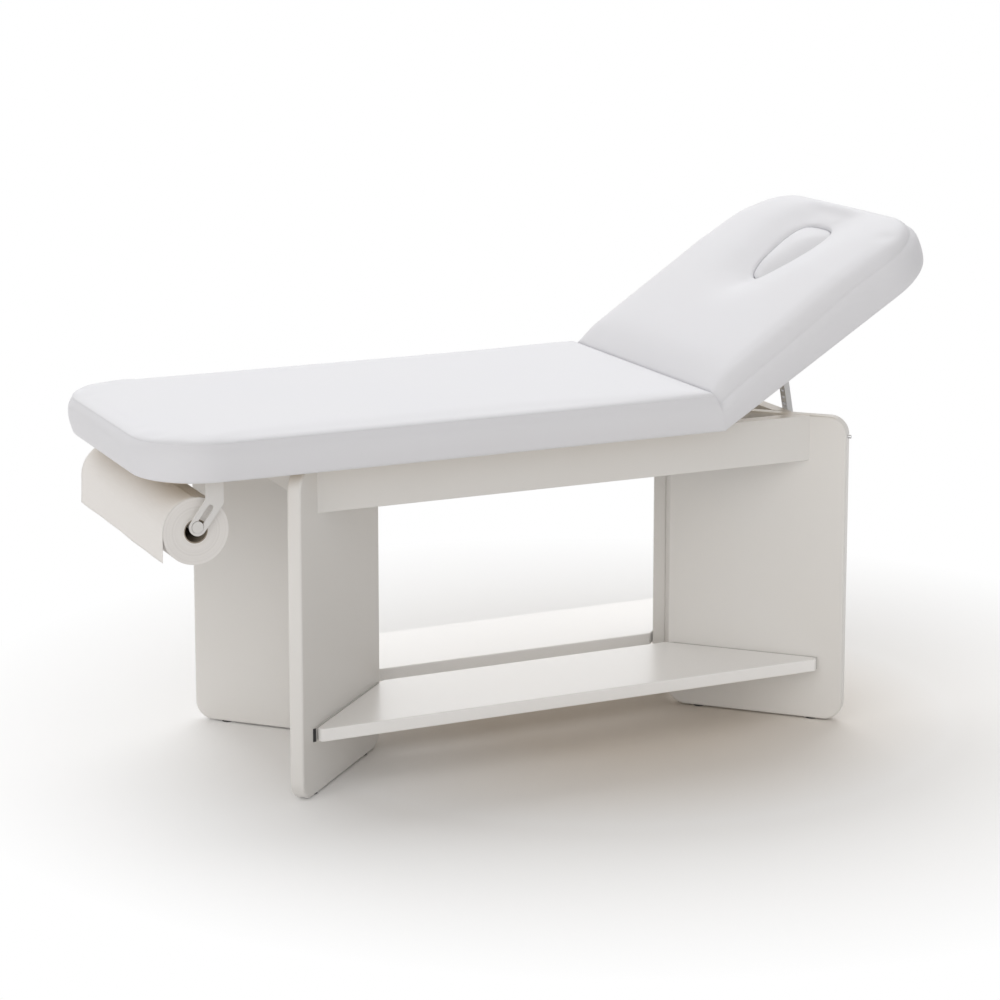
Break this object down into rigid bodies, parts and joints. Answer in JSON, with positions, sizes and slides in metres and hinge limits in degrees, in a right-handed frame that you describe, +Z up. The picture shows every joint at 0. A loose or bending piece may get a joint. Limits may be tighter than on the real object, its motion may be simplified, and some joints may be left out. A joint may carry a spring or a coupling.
{
  "type": "massage table",
  "caption": "Fixed-height treatment couch: V-shaped board pedestals, side shelves, padded top with ratchet-lift backrest, face hole plug and a paper roll holder.",
  "frame": {"origin": "on the floor, below the middle of the couch's length and width with the backrest raised to its rest angle", "axes": "+X towards the head end, +Y towards the far long side, +Z up"},
  "size_m": [1.793, 0.68, 1.0764],
  "materials": {
    "white_lacquered_board": "satin",
    "white_vinyl": "satin",
    "foam": "matte",
    "plywood": "matte",
    "beech": "matte",
    "black_rubber": "matte",
    "dark_plastic": "matte",
    "zinc_steel": "satin",
    "silver_steel": "satin",
    "white_steel": "satin",
    "paper": "matte",
    "cardboard": "matte"
  },
  "bodies": {
    "frame": {"head_far_panel": "white_lacquered_board", "head_near_panel": "white_lacquered_board", "foot_far_panel": "white_lacquered_board", "foot_near_panel": "white_lacquered_board", "head_post": "white_lacquered_board", "foot_post": "white_lacquered_board", "far_apron": "white_lacquered_board", "near_apron": "white_lacquered_board", "head_rail": "white_lacquered_board", "foot_rail": "white_lacquered_board", "middle_rail": "white_lacquered_board", "hinge_rail": "white_lacquered_board", "far_shelf": "white_lacquered_board", "near_shelf": "white_lacquered_board", "shelf_spacers": "black_rubber", "frame_dowels": "beech", "post_dowels": "beech", "shelf_dowels": "beech", "board_screws": "zinc_steel", "floor_glides": "dark_plastic", "end_pegs": "zinc_steel", "seat_board": "plywood", "seat_foam": "foam", "seat_cover": "white_vinyl", "hinge_fixed_leaves": "zinc_steel", "hinge_pins": "zinc_steel", "hinge_fixed_screws": "zinc_steel", "guide_bracket_screws": "zinc_steel", "guide_brackets": "silver_steel", "far_roll_bracket": "white_steel", "near_roll_bracket": "white_steel", "roll_bracket_screws": "zinc_steel", "paper_tail": "paper"},
    "backrest": {"back_board": "plywood", "back_foam": "foam", "back_cover": "white_vinyl", "hinge_moving_leaves": "zinc_steel", "hinge_moving_screws": "zinc_steel", "strut_bracket_screws": "zinc_steel", "strut_brackets": "silver_steel", "strut_pins": "zinc_steel"},
    "far_bar": {"far_ratchet_bar": "silver_steel"},
    "near_bar": {"near_ratchet_bar": "silver_steel"},
    "far_guide": {"far_guide": "silver_steel"},
    "near_guide": {"near_guide": "silver_steel"},
    "far_pawl": {"far_pawl": "silver_steel"},
    "near_pawl": {"near_pawl": "silver_steel"},
    "spindle": {"roll_spindle": "white_steel"},
    "roll": {"paper_roll": "paper", "roll_core": "cardboard"},
    "plug": {"plug_board": "plywood", "plug_foam": "foam", "plug_cover": "white_vinyl"}
  },
  "joints": [
    {"name": "back_tilt", "type": "hinge", "parent": "frame", "child": "backrest", "pos_m": [0.35699, 0, 0.675], "axis": [0, -1, 0], "range_deg": [-31.5, 18.5]},
    {"name": "far_bar_turn", "type": "hinge", "parent": "backrest", "child": "far_bar", "pos_m": [0.58754, 0.15, 0.79987], "axis": [0, -1, 0], "range_deg": [-9.25, 15.75]},
    {"name": "far_guide_turn", "type": "hinge", "parent": "frame", "child": "far_guide", "pos_m": [0.61599, 0.15, 0.63415], "axis": [0, -1, 0], "range_deg": [-15.75, 9.25]},
    {"name": "far_pawl_release", "type": "hinge", "parent": "far_guide", "child": "far_pawl", "pos_m": [0.6012, 0.15, 0.63161], "axis": [0, -1, 0], "range_deg": [0, 20], "stiffness_Nm_per_rad": 0.02, "springref_deg": -28.65},
    {"name": "near_bar_turn", "type": "hinge", "parent": "backrest", "child": "near_bar", "pos_m": [0.58754, -0.15, 0.79987], "axis": [0, -1, 0], "range_deg": [-9.25, 15.75]},
    {"name": "near_guide_turn", "type": "hinge", "parent": "frame", "child": "near_guide", "pos_m": [0.61599, -0.15, 0.63415], "axis": [0, -1, 0], "range_deg": [-15.75, 9.25]},
    {"name": "near_pawl_release", "type": "hinge", "parent": "near_guide", "child": "near_pawl", "pos_m": [0.6012, -0.15, 0.63161], "axis": [0, -1, 0], "range_deg": [0, 20], "stiffness_Nm_per_rad": 0.02, "springref_deg": -28.65},
    {"name": "spindle_pull", "type": "slide", "parent": "frame", "child": "spindle", "axis": [0, -1, 0], "range_m": [0, 0.6]},
    {"name": "roll_spin", "type": "hinge", "parent": "frame", "child": "roll", "pos_m": [-0.78601, 0, 0.5721], "axis": [0, 1, 0], "continuous": true},
    {"name": "plug_lift", "type": "slide", "parent": "backrest", "child": "plug", "axis": [-0.5225, 0, 0.8526], "range_m": [0, 0.15]}
  ],
  "couplings": [
    {"joint": "far_bar_turn", "follows": "back_tilt", "ratio": -0.5},
    {"joint": "far_guide_turn", "follows": "back_tilt", "ratio": 0.5},
    {"joint": "near_bar_turn", "follows": "back_tilt", "ratio": -0.5},
    {"joint": "near_guide_turn", "follows": "back_tilt", "ratio": 0.5}
  ]
}
